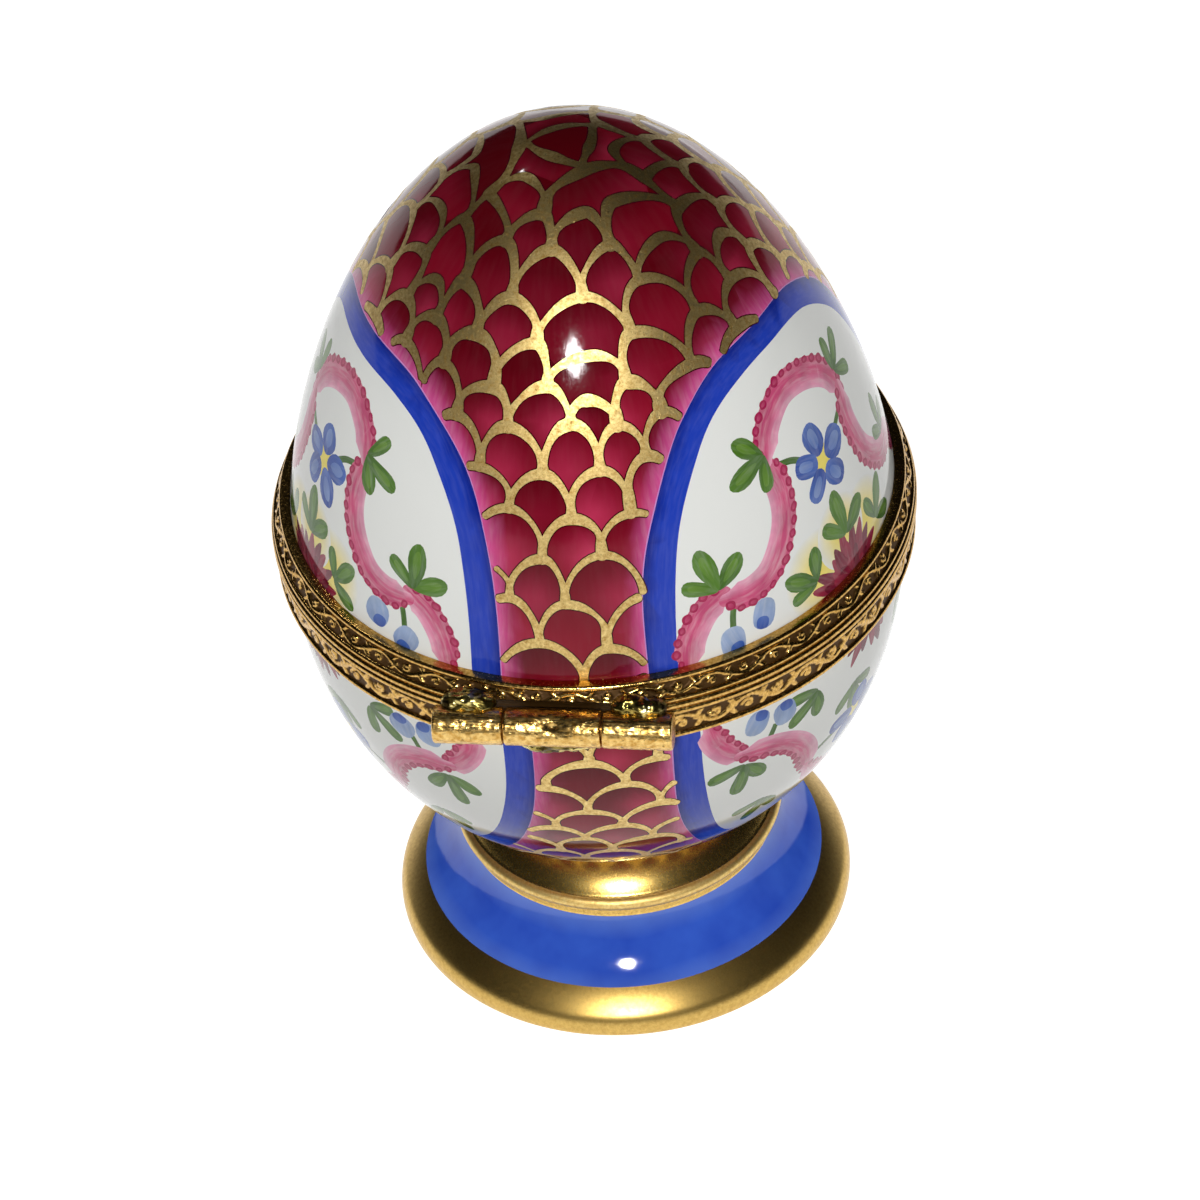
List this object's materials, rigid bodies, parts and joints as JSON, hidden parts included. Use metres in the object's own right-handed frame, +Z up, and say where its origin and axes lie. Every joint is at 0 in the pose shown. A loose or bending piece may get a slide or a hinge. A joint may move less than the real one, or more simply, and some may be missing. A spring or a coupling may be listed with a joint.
{
  "type": "hinged porcelain egg box",
  "caption": "Footed porcelain egg box: painted lid and cup in chased gilt bezels, joined by a barrel hinge and closed by a clasp, on a moulded pedestal foot.",
  "frame": {"origin": "centre of the foot ring on the table", "axes": "+Z up through the crown of the egg; the hinge lies along X on the -Y side, the clasp is on +Y"},
  "size_m": [0.05, 0.0542, 0.0758],
  "materials": {
    "lid_porcelain": "gloss",
    "cup_porcelain": "gloss",
    "foot_porcelain": "gloss",
    "gilt_brass": "satin",
    "hinge_brass": "satin",
    "pin_brass": "satin",
    "solder": "satin",
    "cement": "matte"
  },
  "bodies": {
    "base": {"pedestal_foot": "foot_porcelain", "lower_cup": "cup_porcelain", "lower_bezel": "gilt_brass", "lower_bezel_cement": "cement", "hinge_knuckle_centre": "hinge_brass", "hinge_pin": "pin_brass", "hinge_solder_centre": "solder", "catch_bead": "gilt_brass"},
    "lid": {"lid_shell": "lid_porcelain", "upper_bezel": "gilt_brass", "upper_bezel_cement": "cement", "hinge_knuckle_left": "hinge_brass", "hinge_knuckle_right": "hinge_brass", "hinge_solder_left": "solder", "hinge_solder_right": "solder", "clasp_tongue": "gilt_brass"}
  },
  "joints": [
    {"name": "lid_hinge", "type": "hinge", "parent": "base", "child": "lid", "pos_m": [0, -0.02565, 0.0414], "axis": [1, 0, 0], "range_deg": [0, 95]}
  ]
}
